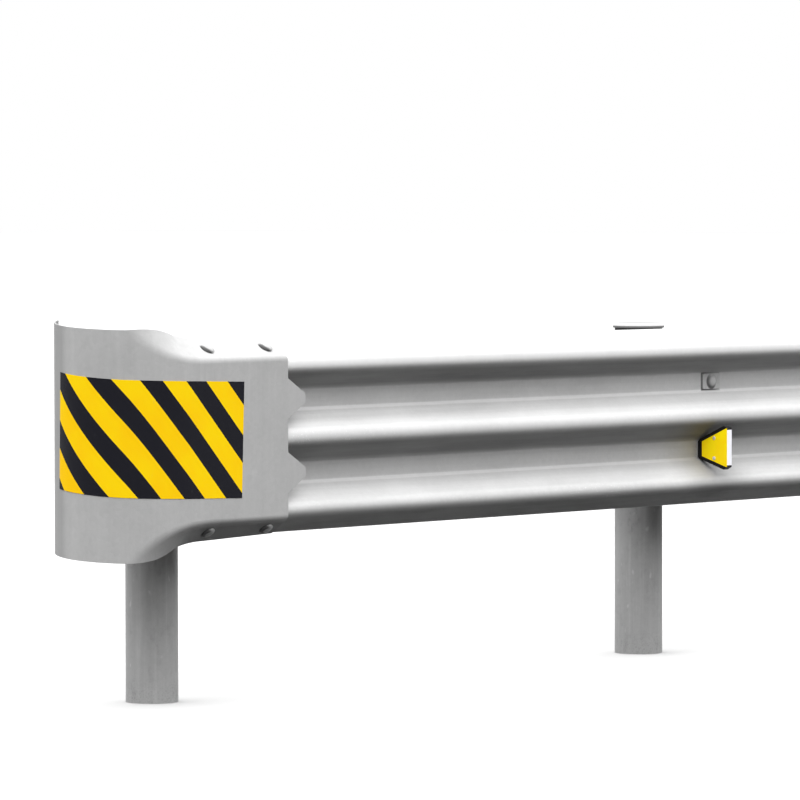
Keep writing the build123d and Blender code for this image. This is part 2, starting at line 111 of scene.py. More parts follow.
class GuardrailSheeting(PropertyGroup):
    """The striped marking and the delineator's sheeting."""

    yellow: FloatVectorProperty(
        name="Stripe yellow", description="Yellow of the striped marking",
        default=(1.0, 0.69, 0.0), min=0, max=1, size=3, subtype="COLOR",
    )
    black: FloatVectorProperty(
        name="Stripe black", description="Black of the striped marking",
        default=(0.006, 0.006, 0.009), min=0, max=1, size=3, subtype="COLOR",
    )
    lemon: FloatVectorProperty(
        name="Delineator yellow", description="Yellow of the delineator's face",
        default=(1.0, 0.76, 0.004), min=0, max=1, size=3, subtype="COLOR",
    )
    white: FloatVectorProperty(
        name="Delineator white", description="White of the delineator's strip",
        default=(0.80, 0.80, 0.84), min=0, max=1, size=3, subtype="COLOR",
    )
    plastic: FloatVectorProperty(
        name="Delineator body", description="Colour of the moulded body",
        default=(0.010, 0.010, 0.011), min=0, max=1, size=3, subtype="COLOR",
    )
    period: FloatProperty(
        name="Stripe period", description="From one yellow stripe to the next, along the sheet",
        default=0.1497, min=0.01, precision=4, subtype="DISTANCE", unit="LENGTH",
    )
    first: FloatProperty(
        name="First stripe", description="Start of the first yellow stripe along the sheet's upper edge",
        default=0.0647, min=0, precision=4, subtype="DISTANCE", unit="LENGTH",
    )
    yellow_share: FloatProperty(
        name="Yellow share", description="Share of a period that is yellow",
        default=0.52, min=0.05, max=0.95, subtype="FACTOR",
    )
    start: FloatProperty(
        name="Sheet start", description="Distance of the sheet's straight end before the first post",
        default=0.013, precision=4, subtype="DISTANCE", unit="LENGTH",
    )
    height: FloatProperty(
        name="Sheet height", description="Height of the striped sheet",
        default=0.302, min=0.01, precision=4, subtype="DISTANCE", unit="LENGTH",
    )
    climb: FloatProperty(
        name="Sheet climb", description="How far the striped sheet climbs towards the nose",
        default=math.radians(1.8), subtype="ANGLE", unit="ROTATION",
    )
    nose_radius: FloatProperty(
        name="Nose radius", description="Radius of the terminal's nose to the middle of its plate",
        default=0.206, min=0.01, precision=4, subtype="DISTANCE", unit="LENGTH",
    )
    stretch: FloatProperty(
        name="Stretch", description="How much longer the sheet was, before it was pulled round the nose",
        default=0.025, min=0, precision=4, subtype="DISTANCE", unit="LENGTH",
    )
    nose_rise: FloatProperty(
        name="Nose rise", description="How far the nose rises from the neck to its end",
        default=0.020, precision=4, subtype="DISTANCE", unit="LENGTH",
    )
    plate: FloatProperty(
        name="Plate", description="Thickness of the terminal's plate",
        default=0.004, min=0.0005, precision=4, subtype="DISTANCE", unit="LENGTH",
    )
    # Emission strength of the delineator's sheeting: painted light, as if the sheeting were a lamp.
    painted_glow: FloatProperty(
        name="Glow", description="Fluorescence of the delineator's sheeting", default=0.28, min=0,
    )
    cell: FloatProperty(
        name="Prism cell", description="Width of one cell of the reflective sheeting",
        default=0.0042, min=0.0005, precision=4, subtype="DISTANCE", unit="LENGTH",
    )


class GuardrailBolts(PropertyGroup):
    """Button-head splice bolts and the delineator's rivets."""

    head_radius: FloatProperty(
        name="Head radius", description="Radius of the button head",
        default=0.0185, min=0.001, precision=4, subtype="DISTANCE", unit="LENGTH",
    )
    head_height: FloatProperty(
        name="Head height", description="Height of the button head",
        default=0.0085, min=0.001, precision=4, subtype="DISTANCE", unit="LENGTH",
    )
    shank_radius: FloatProperty(
        name="Shank radius", description="Radius of the threaded shank",
        default=0.008, min=0.001, precision=4, subtype="DISTANCE", unit="LENGTH",
    )
    nut_width: FloatProperty(
        name="Nut width", description="Nut over its flats",
        default=0.024, min=0.001, precision=4, subtype="DISTANCE", unit="LENGTH",
    )
    nut_height: FloatProperty(
        name="Nut height", description="Height of the nut",
        default=0.013, min=0.001, precision=4, subtype="DISTANCE", unit="LENGTH",
    )
    washer_radius: FloatProperty(
        name="Washer radius", description="Radius of the washer under the nut",
        default=0.015, min=0.001, precision=4, subtype="DISTANCE", unit="LENGTH",
    )
    washer_height: FloatProperty(
        name="Washer thickness", description="Thickness of the washer under the nut",
        default=0.003, min=0.0005, precision=4, subtype="DISTANCE", unit="LENGTH",
    )
    plate: FloatProperty(
        name="Plate", description="Thickness of the inner plate that a splice bolt clamps",
        default=0.004, min=0.0005, precision=4, subtype="DISTANCE", unit="LENGTH",
    )
    nest: FloatProperty(
        name="Nesting", description="How far the outer plate's face lies outside the inner one's",
        default=0.0043, min=0.0005, precision=4, subtype="DISTANCE", unit="LENGTH",
    )
    tail: FloatProperty(
        name="Thread end", description="Thread that stands past the nut",
        default=0.007, min=0.001, precision=4, subtype="DISTANCE", unit="LENGTH",
    )
    pitch: FloatProperty(
        name="Thread pitch", description="Distance from one thread to the next",
        default=0.002, min=0.0005, precision=4, subtype="DISTANCE", unit="LENGTH",
    )
    rivet_radius: FloatProperty(
        name="Rivet radius", description="Radius of a delineator rivet's head",
        default=0.0055, min=0.0005, precision=4, subtype="DISTANCE", unit="LENGTH",
    )
    rivet_height: FloatProperty(
        name="Rivet height", description="Height of a delineator rivet's head",
        default=0.0022, min=0.0002, precision=4, subtype="DISTANCE", unit="LENGTH",
    )
    rivet: FloatVectorProperty(
        name="Rivet colour", description="Colour of the bright rivets",
        default=(0.86, 0.86, 0.86), min=0, max=1, size=3, subtype="COLOR",
    )
    rivet_apart: FloatProperty(
        name="Rivets apart", description="Distance between the two rivets",
        default=0.058, min=0.001, precision=4, subtype="DISTANCE", unit="LENGTH",
    )
    seed: IntProperty(name="Turn seed", description="Seed for how far each bolt is turned", default=7, min=0)


class GuardrailStage(PropertyGroup):
    """Floor, sky and camera."""

    horizon: FloatProperty(
        name="Sky at the horizon", description="Strength of the soft light from the horizon",
        default=0.1, min=0,
    )
    zenith: FloatProperty(
        name="Sky overhead", description="Strength of the soft light from overhead", default=3.5, min=0,
    )
    dusk: FloatProperty(
        name="Sky start", description="Height over the horizon at which the light from overhead starts",
        default=math.radians(6), subtype="ANGLE", unit="ROTATION",
    )
    spread: FloatProperty(
        name="Sky spread", description="Height over the horizon at which the light from overhead is full",
        default=math.radians(42), subtype="ANGLE", unit="ROTATION",
    )
    floor: FloatVectorProperty(
        name="Floor", description="Colour of the pale floor",
        default=(0.47, 0.47, 0.47), min=0, max=1, size=3, subtype="COLOR",
    )
    bounce: FloatVectorProperty(
        name="Floor bounce", description="Colour of the floor for the light that it throws back up",
        default=(0.02, 0.02, 0.02), min=0, max=1, size=3, subtype="COLOR",
    )
    reach: FloatProperty(
        name="Floor reach", description="Half the width of the floor",
        default=150.0, min=1, subtype="DISTANCE", unit="LENGTH",
    )
    eye: FloatVectorProperty(
        name="Camera", description="Place of the camera",
        default=(-9.559456, -9.714457, 1.321772), size=3, subtype="TRANSLATION", unit="LENGTH",
    )
    heading: FloatProperty(
        name="Heading", description="Turn of the camera from across the rail to along it",
        default=math.radians(47.30554), subtype="ANGLE", unit="ROTATION",
    )
    tilt: FloatProperty(
        name="Tilt", description="Tilt of the camera over the horizon",
        default=math.radians(-2.20309), subtype="ANGLE", unit="ROTATION",
    )
    roll: FloatProperty(
        name="Roll", description="Roll of the camera about its line of sight",
        default=math.radians(-0.0762), subtype="ANGLE", unit="ROTATION",
    )
    lens: FloatProperty(
        name="Lens", description="Focal length on a sensor 36 mm wide",
        default=231.985, min=10, unit="CAMERA",
    )


# --- Node building ---
class Wire:
    """One socket of a node tree. Arithmetic on it adds the Math nodes that work it out."""

    def __init__(self, tree, socket=None):
        self.tree = tree
        self.socket = socket

    def node(self, kind, settings, values, output=0):
        """Add a node: its settings first, then the values or links of its sockets. Gives one output."""
        made = self.tree.nodes.new(kind)
        for name, value in settings.items():
            setattr(made, name, value)
        for name, value in values.items():
            target = made.inputs[name]
            for part in value if isinstance(value, list) else [value]:
                if isinstance(part, Wire):
                    self.tree.links.new(part.socket, target)
                else:
                    target.default_value = part
        return Wire(self.tree, made.outputs[output]) if len(made.outputs) else None

    def beside(self, output):
        """Another output of the same node."""
        return Wire(self.tree, self.socket.node.outputs[output])

    def worked(self, operation, *inputs):
        """A Math node on these inputs."""
        return self.node("ShaderNodeMath", {"operation": operation}, dict(enumerate(inputs)))

    def __add__(self, other):
        return self.worked("ADD", self, other)

    def __radd__(self, other):
        return self.worked("ADD", other, self)

    def __sub__(self, other):
        return self.worked("SUBTRACT", self, other)

    def __rsub__(self, other):
        return self.worked("SUBTRACT", other, self)

    def __mul__(self, other):
        return self.worked("MULTIPLY", self, other)

    def __rmul__(self, other):
        return self.worked("MULTIPLY", other, self)

    def __truediv__(self, other):
        return self.worked("DIVIDE", self, other)

    def __rtruediv__(self, other):
        return self.worked("DIVIDE", other, self)

    def __pow__(self, other):
        return self.worked("POWER", self, other)

    def __neg__(self):
        return self.worked("MULTIPLY", self, -1.0)

    def __abs__(self):
        return self.worked("ABSOLUTE", self)

    def least(self, other):
        return self.worked("MINIMUM", self, other)

    def most(self, other):
        return self.worked("MAXIMUM", self, other)

    def step(self, low, high):
        """Rises smoothly from 0 at low to 1 at high; falls where high is the lower."""
        settings = {"interpolation_type": "SMOOTHSTEP"}
        return self.node("ShaderNodeMapRange", settings, {"Value": self, "From Min": low, "From Max": high})

    def between(self, first, second):
        """The colour at this share of the way from one colour to another."""
        ends = [(*colour, 1.0) if isinstance(colour, tuple) else colour for colour in (first, second)]
        return self.node("ShaderNodeMix", {"data_type": "RGBA"}, {0: self, 6: ends[0], 7: ends[1]}, 2)

    def axes(self):
        """The three numbers of this vector or colour."""
        first = self.node("ShaderNodeSeparateXYZ", {}, {"Vector": self})
        return first, first.beside(1), first.beside(2)

    def drifted(self, other, amount):
        """This vector moved by how far a colour lies from grey."""
        centred = self.node("ShaderNodeVectorMath", {"operation": "SUBTRACT"}, {0: other, 1: (0.5, 0.5, 0.5)})
        values = {0: centred, 1: (amount, amount, amount), 2: self}
        return self.node("ShaderNodeVectorMath", {"operation": "MULTIPLY_ADD"}, values)

    def scaled(self, *factors, shift=(0.0, 0.0, 0.0)):
        """This vector scaled along each axis, so that a pattern on it stretches."""
        return self.node("ShaderNodeMapping", {}, {"Vector": self, "Scale": factors, "Location": shift})

    def noise(self, scale=1.0, detail=3.0, roughness=0.6, output=0):
        values = {"Vector": self, "Scale": scale, "Detail": detail, "Roughness": roughness}
        return self.node("ShaderNodeTexNoise", {}, values, output)

    def cells(self, scale, feature="F1", output="Color"):
        return self.node("ShaderNodeTexVoronoi", {"feature": feature}, {"Vector": self, "Scale": scale}, output)


def shaded(colour, factor):
    """A colour made lighter or darker."""
    return tuple(min(1.0, channel * factor) for channel in colour)


def finish(name, values_of):
    """A material from the shader values that a function gives for a place on the object."""
    material = bpy.data.materials.new(name)
    material.use_nodes = True
    material.node_tree.nodes.clear()
    place = Wire(material.node_tree).node("ShaderNodeTexCoord", {}, {}, "Object")
    values = values_of(place)
    values["Normal"] = place.node("ShaderNodeBump", {}, values.pop("Relief"), "Normal")
    shader = place.node("ShaderNodeBsdfPrincipled", {}, values)
    place.node("ShaderNodeOutputMaterial", {}, {"Surface": shader})
    return material


def dress(start, material):
    """Give a finish to the CAD nodes whose names start with a word."""
    found = [node for name, node in frame["nodes"].items() if name.startswith(start)]
    if not found:
        raise RuntimeError(f"no node's name starts with {start}")
    for node in found:
        for slot in node.material_slots:
            slot.material = material


# --- Zinc finishes ---
def galvanised(name, colour, zinc, grain, grain_share, marks):
    """Hot-dip zinc: frosted crystals, clouds of tone, and a grain along the rolling or the rain."""

    def values_of(place):
        loose = place.drifted(place.noise(55.0, 2.0, 0.5, "Color"), zinc.spangle * 0.9)
        crystal = loose.cells(1 / zinc.spangle).axes()[0]
        seam = loose.cells(1 / zinc.spangle, "DISTANCE_TO_EDGE", "Distance").step(0.0, 0.2)
        cloud = place.noise(2.7, 5.0, 0.62)
        frost = place.noise(620.0, 2.0, 0.6)
        streak = place.scaled(*grain).noise(1.0, 4.0, 0.6)
        # Each marks function gives pale tone with painted highlights, dull tone, and dirt with painted shade.
        pale, dull, grime_and_shade = marks(place, zinc)
        level = 0.5 + (crystal - 0.5) * 0.10 + (cloud - 0.5) * 0.55 + (frost - 0.5) * 0.40
        level = level + (streak - 0.5) * grain_share + pale - dull
        rough = zinc.roughness + (crystal - 0.5) * 0.12 + (cloud - 0.5) * 0.16 + dull * 0.3 - pale * 0.1
        # The range reaches well past the mean colour, so that the painted highlights in pale can rise towards
        # white.
        clean = (level * 0.5).least(1.0).most(0.0).between(shaded(colour, 0.76), shaded(colour, 1.72))
        return {
            # The colour is darkened where the marks lay dirt and painted shade.
            "Base Color": grime_and_shade.least(1.0).most(0.0).between(clean, shaded(colour, zinc.grime_and_shade)),
            "Roughness": rough,
            "Metallic": zinc.metallic + pale * 0.2,
            "Specular IOR Level": 0.05,
            "Relief": {"Height": frost * 0.35 + seam * 0.4 + streak * 0.5, "Strength": 0.18, "Distance": 0.0006},
        }

    return finish(name, values_of)


def on_wave(z, zinc):
    """Place on the rail's wave: 0 on a crest, a half in the valley over it, 1 on the next crest."""
    return z.worked("FRACT", (z - RAIL_MIDDLE) / zinc.pitch)


def bolt_head_shadow(place, zinc):
    """Painted shadow under the splice bolts' heads, on their left and lower side."""
    x, y, z = place.axes()
    row = SPLICE_ROWS[0]
    run = POST_MIDDLES[2] - POST_MIDDLES[0]
    along = x.worked("WRAP", x, run / 2, -run / 2)
    crest = z.worked("WRAP", z - RAIL_MIDDLE, zinc.pitch / 2, -zinc.pitch / 2)
    out = abs((row["pos_m"][2] - RAIL_MIDDLE + zinc.pitch / 2) % zinc.pitch - zinc.pitch / 2)
    beside = (abs(along) - row["dims"]["pcd_mm"] / 2000) * x.worked("SIGN", along)
    over = (abs(crest) - out) * x.worked("SIGN", crest)
    deep = y - row["pos_m"][1]
    away = x.worked("SQRT", beside * beside + over * over + deep * deep)
    lower_left_weight = (-beside - over).step(-0.004, 0.010)
    return away.step(0.0245, 0.0205) * away.step(0.0150, 0.0175) * lower_left_weight


def washer_dirt_and_shadow(place, zinc):
    """Dirt and painted shadow in the corner round each rectangular washer in the valleys, thickest on its left
    and lower side.
    """
    x, y, z = place.axes()
    along = x.worked("WRAP", x - POST_MIDDLES[0], 1.0, -1.0)
    up = x.worked("WRAP", z - RAIL_MIDDLE, zinc.pitch, 0.0) - zinc.pitch / 2
    outside = (abs(along) - 0.038).most(abs(up) - 0.022)
    lower_left_weight = (-along - up * 0.8).step(-0.030, 0.020) * 0.45 + 0.45
    return outside.step(0.0065, 0.0020) * outside.step(-0.0030, 0.0) * lower_left_weight


def rail_marks(place, zinc):
    """Scuffs on proud crests, film in valleys, painted highlights on crests and bends, painted shade below
    waves.
    """
    x, y, z = place.axes()
    wave = on_wave(z, zinc)
    proud = y.step(RAIL_LOW.y + 0.022, RAIL_LOW.y + 0.002)
    patch = place.scaled(1.1, 3.0, 3.0, shift=(3.1, 0.0, 0.0)).noise(1.0, 2.0, 0.5).step(0.50, 0.62)
    scratch = place.scaled(14.0, 260.0, 260.0).noise(1.0, 3.0, 0.7).step(0.60, 0.74)
    speck = place.noise(240.0, 1.0, 0.5).step(0.66, 0.72)
    film = place.scaled(2.2, 9.0, 9.0).noise(1.0, 4.0, 0.65).step(0.48, 0.75)
    # Painted highlight: a light line along the lower bend of each valley, where the fold catches light.
    bend = abs(wave - 0.357).step(0.034, 0.008)
    crest = z.worked("WRAP", wave, 0.5, -0.5)
    upper = z.step(RAIL_MIDDLE + 0.09, RAIL_MIDDLE + 0.11)
    lower = z.step(RAIL_MIDDLE - 0.09, RAIL_MIDDLE - 0.11)
    ridge = crest + upper * 0.03 - lower * 0.08
    # Painted highlight along each crest, strongest on the top wave and weakest on the lowest.
    worn_print_and_crest_highlight = ridge.step(-0.10, 0.0) * ridge.step(0.24, 0.12) * (0.6 + upper * 0.7 - lower * 0.35)
    # Painted shade on the slopes that face down under each crest, broken up by noise.
    under = crest.step(-0.40, -0.30) * ridge.step(-0.05, -0.15)
    shade_mottle = place.scaled(1.6, 14.0, 14.0).noise(1.0, 4.0, 0.65).step(0.25, 0.75) * 0.25 + 0.50
    # Painted shadow on the rail round the delineator, which also darkens the yellow light its sheeting throws
    # there.
    to_marker = {0: place, 1: tuple(MARKER_LOW)}
    near = place.node("ShaderNodeVectorMath", {"operation": "DISTANCE"}, to_marker, "Value")
    # shade gathers the painted shade under the waves, the dirt and painted shadow round the washers, and the
    # painted shadow under the bolt heads.
    shade = (under * shade_mottle).most(washer_dirt_and_shadow(place, zinc)).most(bolt_head_shadow(place, zinc))
    # pale holds the real scuffs and the painted highlights of the bends and crests.
    pale = proud * patch * (scratch * 0.5 + speck * 0.9) + bend * 0.7 + worn_print_and_crest_highlight
    return pale, film * (1 - proud) * 0.16, shade + near.step(0.20, 0.05) * 0.30


def terminal_marks(place, zinc):
    """Runs of zinc down the plate, pale and dull rubs, and painted shade on the flange that faces the ground."""
    x, y, z = place.axes()
    run = place.scaled(34.0, 34.0, 1.4).noise(1.0, 3.0, 0.6).step(0.50, 0.75)
    rub = place.noise(7.0, 6.0, 0.72).step(0.60, 0.72)
    # Painted shade on the lower flange, which faces the ground; the plate is also darker behind y -0.07 m, at
    # the back of the curled nose.
    back = y.step(PLATE_LOW.y + 0.006, PLATE_LOW.y + 0.022) * (RAIL_MIDDLE - z).step(0.200, 0.215)
    flange = (back * x.step(-0.27, -0.13) * 0.62).most(y.step(-0.115, -0.070) * 0.32)
    pale = run * 0.10 + rub * 0.08
    return pale, place.noise(4.2, 5.0, 0.7).step(0.52, 0.72) * 0.10, flange.most(bolt_head_shadow(place, zinc))


def cap_marks(place, zinc):
    """Rubs and stains on the caps, dust on their crowns, and a painted shadow line along the lower edge of their
    skirts.
    """
    z = place.axes()[2]
    rub = place.noise(30.0, 5.0, 0.7).step(0.55, 0.72)
    stain = place.noise(14.0, 5.0, 0.7).step(0.52, 0.72) * 0.15
    dust = z.step(CAP_HIGH.z - 0.0022, CAP_HIGH.z - 0.0008) * 0.75
    # The skirt's lowest few millimetres are darkened as a painted shadow line.
    return rub * 0.10, stain, dust.most(z.step(CAP_LOW.z + 0.0070, CAP_LOW.z + 0.0040))


def rivet_marks(place, zinc):
    """Bright rivets with hardly a mark."""
    rub = place.noise(300.0, 3.0, 0.6)
    return rub * 0.2, rub * 0.1, rub * 0.0


def post_marks(place, zinc):
    """Rain streaks, chalky spots, splashed grit near the ground, and painted shadow under the rail and the cap.
    """
    z = place.axes()[2]
    run = place.scaled(60.0, 60.0, 2.2).noise(1.0, 3.0, 0.6).step(0.50, 0.74)
    spot = place.scaled(55.0, 55.0, 26.0).noise(1.0, 1.0, 0.5).step(0.70, 0.79)
    mottle = place.scaled(38.0, 38.0, 20.0).noise(1.0, 5.0, 0.7).step(0.50, 0.70)
    grit = place.noise(210.0, 2.0, 0.6).step(0.50, 0.66) * z.step(0.09, 0.0)
    # Painted shadow of the rail on the posts, mottled.
    painted_rail_shadow = z.step(0.28, 0.44) * z.step(0.80, 0.72) * (0.34 + mottle * 0.16)
    # Painted shadow on the top of each post, under its cap.
    painted_cap_shadow = z.step(CAP_LOW.z - 0.015, CAP_LOW.z - 0.007)
    return run * 0.26 + spot * 0.55, grit * 0.35 + mottle * 0.20, painted_rail_shadow.most(painted_cap_shadow)


def bolt_marks(place, zinc):
    """Stains on the fasteners, with painted shade round the heads in the valleys and painted shadow under the
    splice bolts.
    """
    x, y, z = place.axes()
    stain = place.noise(38.0, 3.0, 0.6).step(0.5, 0.7) * 0.22
    post = x.worked("WRAP", x - POST_MIDDLES[0], 1.0, -1.0)
    up = x.worked("WRAP", z - RAIL_MIDDLE, zinc.pitch, 0.0) - zinc.pitch / 2
    away = x.worked("SQRT", post * post + up * up)
    # Painted shade round each post bolt's head and washer, on its left and lower side.
    lower_left_weight = (-post - up).step(-0.022, 0.012) * 0.75 + 0.15
    ring = away.step(0.0250, 0.0205) * away.step(0.0090, 0.0180) * y.step(-0.250, -0.262) * lower_left_weight
    return place.noise(160.0, 2.0, 0.6).step(0.6, 0.8) * 0.1, stain, ring.most(bolt_head_shadow(place, zinc))


def bolt_plating(zinc):
    """The plated finish that every fastener shares."""
    made = bpy.data.materials.get("bolt_plating")
    return made or galvanised("bolt_plating", tuple(zinc.bolt), zinc, (30.0, 30.0, 30.0), 0.2, bolt_marks)


# --- Sheeting ---
def lattice(across, up, width):
    """Fine ridges of reflective sheeting, in three directions: 1 inside a cell, 0 on a ridge."""
    inside = None
    for degrees in (0, 60, 120):
        heading = math.radians(degrees)
        lean = across * (math.cos(heading) / width) + up * (math.sin(heading) / width)
        ridge = lean.worked("PINGPONG", lean, 0.5).step(0.0, 0.14)
        inside = ridge if inside is None else inside * ridge
    return inside


def striped(sheeting):
    """Black and yellow stripes on the sheet as it was before it was wrapped round the nose."""

    def values_of(place):
        x, y, z = place.axes()
        radius = sheeting.nose_radius
        nose_x = PLATE_LOW.x + radius + sheeting.plate / 2
        nose_y = PLATE_LOW.y + radius + sheeting.plate / 2
        curl = x.worked("ARCTAN2", (nose_x - x).most(0.0), nose_y - y)
        pulled = curl.step(math.radians(5), math.radians(53)) * sheeting.stretch
        travel = curl * radius - x.most(nose_x) + pulled
        past_neck = ((curl - math.radians(50)) / math.radians(100)).most(0.0)
        lift = z - RAIL_MIDDLE - past_neck**1.5 * sheeting.nose_rise
        run = travel - sheeting.start
        sine, cosine = math.sin(sheeting.climb), math.cos(sheeting.climb)
        along = run * cosine + lift * sine
        down = sheeting.height / 2 - lift * cosine + run * sine
        half = sheeting.period * sheeting.yellow_share / 2
        past = x.worked(
            "WRAP", along + down - sheeting.first - half, sheeting.period / 2, -sheeting.period / 2
        )
        painted = abs(past).step(half + 0.0003, half - 0.0003)
        prism = lattice(along, down, sheeting.cell)
        fade = place.noise(5.0, 4.0, 0.6)
        rub = place.scaled(90.0, 90.0, 30.0).noise(1.0, 5.0, 0.75).step(0.63, 0.74)
        yellow = tuple(sheeting.yellow)
        warm = fade.step(0.3, 0.7).between(yellow, (yellow[0], yellow[1] * 0.86, yellow[2]))
        dark = fade.between(tuple(sheeting.black), shaded(sheeting.black, 1.8))
        printed = painted.between(dark, warm)
        grain = place.noise(420.0, 2.0, 0.6).step(0.45, 0.75)
        worn_print_and_crest_highlight = (rub * 0.08 + (1 - prism) * 0.03 + grain * 0.025).between(printed, (0.30, 0.30, 0.32))
        return {
            "Base Color": worn_print_and_crest_highlight,
            "Roughness": 0.42 + rub * 0.2 + fade * 0.1,
            "Specular IOR Level": 0.04,
            "Relief": {"Height": prism * 0.5 + fade * 0.2, "Strength": 0.12, "Distance": 0.0003},
        }

    return finish("striped_sheeting", values_of)


def reflective(name, colour, deep, sheeting, rim=0.0):
    """Plain fluorescent sheeting with prism cells, painted light from its own emission, and a dark rim of some
    width at its upper and lower ends.
    """
    middle = (MARKER_LOW.z + MARKER_HIGH.z) / 2
    half = (MARKER_HIGH.z - MARKER_LOW.z) / 2 - rim

    def values_of(place):
        x, y, z = place.axes()
        prism = lattice(y + x, z, sheeting.cell * 0.8)
        fade = place.noise(18.0, 3.0, 0.6)
        rub = place.noise(150.0, 3.0, 0.7).step(0.62, 0.75)
        tint = fade.step(0.3, 0.7).between(colour, deep)
        shown = (rub * 0.15 + (1 - prism) * 0.08).between(tint, shaded(deep, 0.45))
        shown = abs(z - middle).step(half, half + 0.0008).between(shown, tuple(sheeting.plastic))
        return {
            "Base Color": shown,
            "Roughness": 0.36 + rub * 0.2,
            "Specular IOR Level": 0.1,
            # Painted light: the sheeting emits its own colour.
            "Emission Color": shown,
            "Emission Strength": sheeting.painted_glow,
            "Relief": {"Height": prism * 0.6 + fade * 0.2, "Strength": 0.15, "Distance": 0.0003},
        }

    return finish(name, values_of)


def moulded(colour):
    """Dark plastic with a fine texture, dustier where it has weathered."""

    def values_of(place):
        skin = place.noise(700.0, 2.0, 0.5)
        dust = place.noise(26.0, 4.0, 0.7).step(0.45, 0.8)
        return {
            "Base Color": (dust * 0.5).between(colour, shaded(colour, 3.0)),
            "Roughness": 0.55 + dust * 0.2,
            "Specular IOR Level": 0.12,
            "Relief": {"Height": skin, "Strength": 0.2, "Distance": 0.0002},
        }

    return finish("moulded_plastic", values_of)


# --- Turned fasteners ---
def turned(start, sides, rows, outline):
    """A closed turned solid. outline gives a ring's radius and height by its share of the length and place."""
    blank = {"Vertices": sides, "Side Segments": rows, "Radius": 1.0, "Depth": 1.0}
    mesh = start.node("GeometryNodeMeshCylinder", {"fill_type": "NGON"}, blank, "Mesh")
    x, y, z = start.node("GeometryNodeInputPosition", {}, {}).axes()
    radius, height = outline(z + 0.5, x, y)
    place = start.node("ShaderNodeCombineXYZ", {}, {0: x * radius, 1: y * radius, 2: height})
    return start.node("GeometryNodeSetPosition", {}, {"Geometry": mesh, "Position": place})


def ends_of(share):
    """1 on the two end rings of a solid of three rows, and how far each ring lies from the middle."""
    away = abs(share * 2 - 1)
    return away.step(0.5, 0.9), away


def button_head(start, radius, height):
    """A low dome on a short upright rim."""

    def outline(share, x, y):
        rim = (share * 8).least(1.0)
        curve = ((share * 8 - 1) / 7).most(0.0) * 1.38
        climb = curve.worked("SINE", curve) * 0.815
        return radius * curve.worked("COSINE", curve), height * (rim * 0.2 + climb)

    return turned(start, 36, 8, outline)


def flat_disc(start, radius, top, thickness):
    """A washer with its edges broken, from a height downwards."""

    def outline(share, x, y):
        end, away = ends_of(share)
        side = share.worked("SIGN", share - 0.5)
        level = 0.5 + side * (0.5 - (1 - away) * 0.3)
        return radius - end * thickness * 0.18, top - thickness + level * thickness

    return turned(start, 36, 3, outline)


def hexagon_nut(start, width, top, height):
    """A nut whose corners are chamfered at both faces, from a height downwards."""

    def outline(share, x, y):
        end, away = ends_of(share)
        side = share.worked("SIGN", share - 0.5)
        level = 0.5 + side * (0.5 - (1 - away) * 0.27)
        bearing = x.worked("WRAP", x.worked("ARCTAN2", y, x), math.radians(30), math.radians(-30))
        flat = width / 2 / bearing.worked("COSINE", bearing)
        crown = width * 0.475
        return end * crown + (1 - end) * flat, top - height + level * height

    return turned(start, 72, 3, outline)


def threaded(start, radius, top, run, pitch):
    """A thread's ridges and its chamfered tip, from a height downwards."""

    def outline(share, x, y):
        depth = run * (1 - share)
        ridge = depth / pitch * (2 * math.pi)
        groove = (0.5 - ridge.worked("COSINE", ridge) * 0.5) * pitch * 0.30
        tip = (depth - run + pitch * 0.8).most(0.0)
        return radius - groove - tip * 0.7, top - depth

    return turned(start, 28, 24, outline)


def fastener_tree(name, sizes, build):
    """A Geometry Nodes tree that puts one fastener on each point, facing along its outward direction."""
    tree = bpy.data.node_groups.new(name, "GeometryNodeTree")
    tree.interface.new_socket("Geometry", in_out="INPUT", socket_type="NodeSocketGeometry")
    keys = {}
    for label, (kind, value) in sizes.items():
        socket = tree.interface.new_socket(label, in_out="INPUT", socket_type=kind)
        if value is not None:
            socket.default_value = value
        keys[label] = socket.identifier
    tree.interface.new_socket("Geometry", in_out="OUTPUT", socket_type="NodeSocketGeometry")
    points = Wire(tree).node("NodeGroupInput", {}, {}, "Geometry")
    solids = build(points, {label: points.beside(label) for label in sizes if label != "Finish"})
    joined = points.node("GeometryNodeJoinGeometry", {}, {"Geometry": solids})
    bend = points.node("GeometryNodeInputMeshEdgeAngle", {}, {}, "Unsigned Angle")
    crease = bend.worked("GREATER_THAN", bend, math.radians(28))
    smooth = {"Geometry": joined, "Shade Smooth": True}
    joined = points.node("GeometryNodeSetShadeSmooth", {"domain": "FACE"}, smooth)
    sharp = {"Geometry": joined, "Selection": crease, "Shade Smooth": False}
    joined = points.node("GeometryNodeSetShadeSmooth", {"domain": "EDGE"}, sharp)
    outward = points.node("GeometryNodeInputNamedAttribute", {"data_type": "FLOAT_VECTOR"}, {"Name": "outward"})
    facing = points.node("FunctionNodeAlignRotationToVector", {"axis": "Z"}, {"Vector": outward})
    chance = {2: 0.0, 3: 2 * math.pi, "Seed": points.beside("Turn seed")}
    angle = points.node("FunctionNodeRandomValue", {"data_type": "FLOAT"}, chance, 1)
    spin = points.node("FunctionNodeAxisAngleToRotation", {}, {"Axis": (0.0, 0.0, 1.0), "Angle": angle})
    facing = points.node(
        "FunctionNodeRotateRotation", {"rotation_space": "LOCAL"}, {"Rotation": facing, "Rotate By": spin}
    )
    placed = points.node(
        "GeometryNodeInstanceOnPoints", {}, {"Points": points, "Instance": joined, "Rotation": facing}
    )
    solid = points.node("GeometryNodeRealizeInstances", {}, {"Geometry": placed})
    coated = points.node("GeometryNodeSetMaterial", {}, {"Geometry": solid, "Material": points.beside("Finish")})
    points.node("NodeGroupOutput", {}, {"Geometry": coated})
    return tree, keys


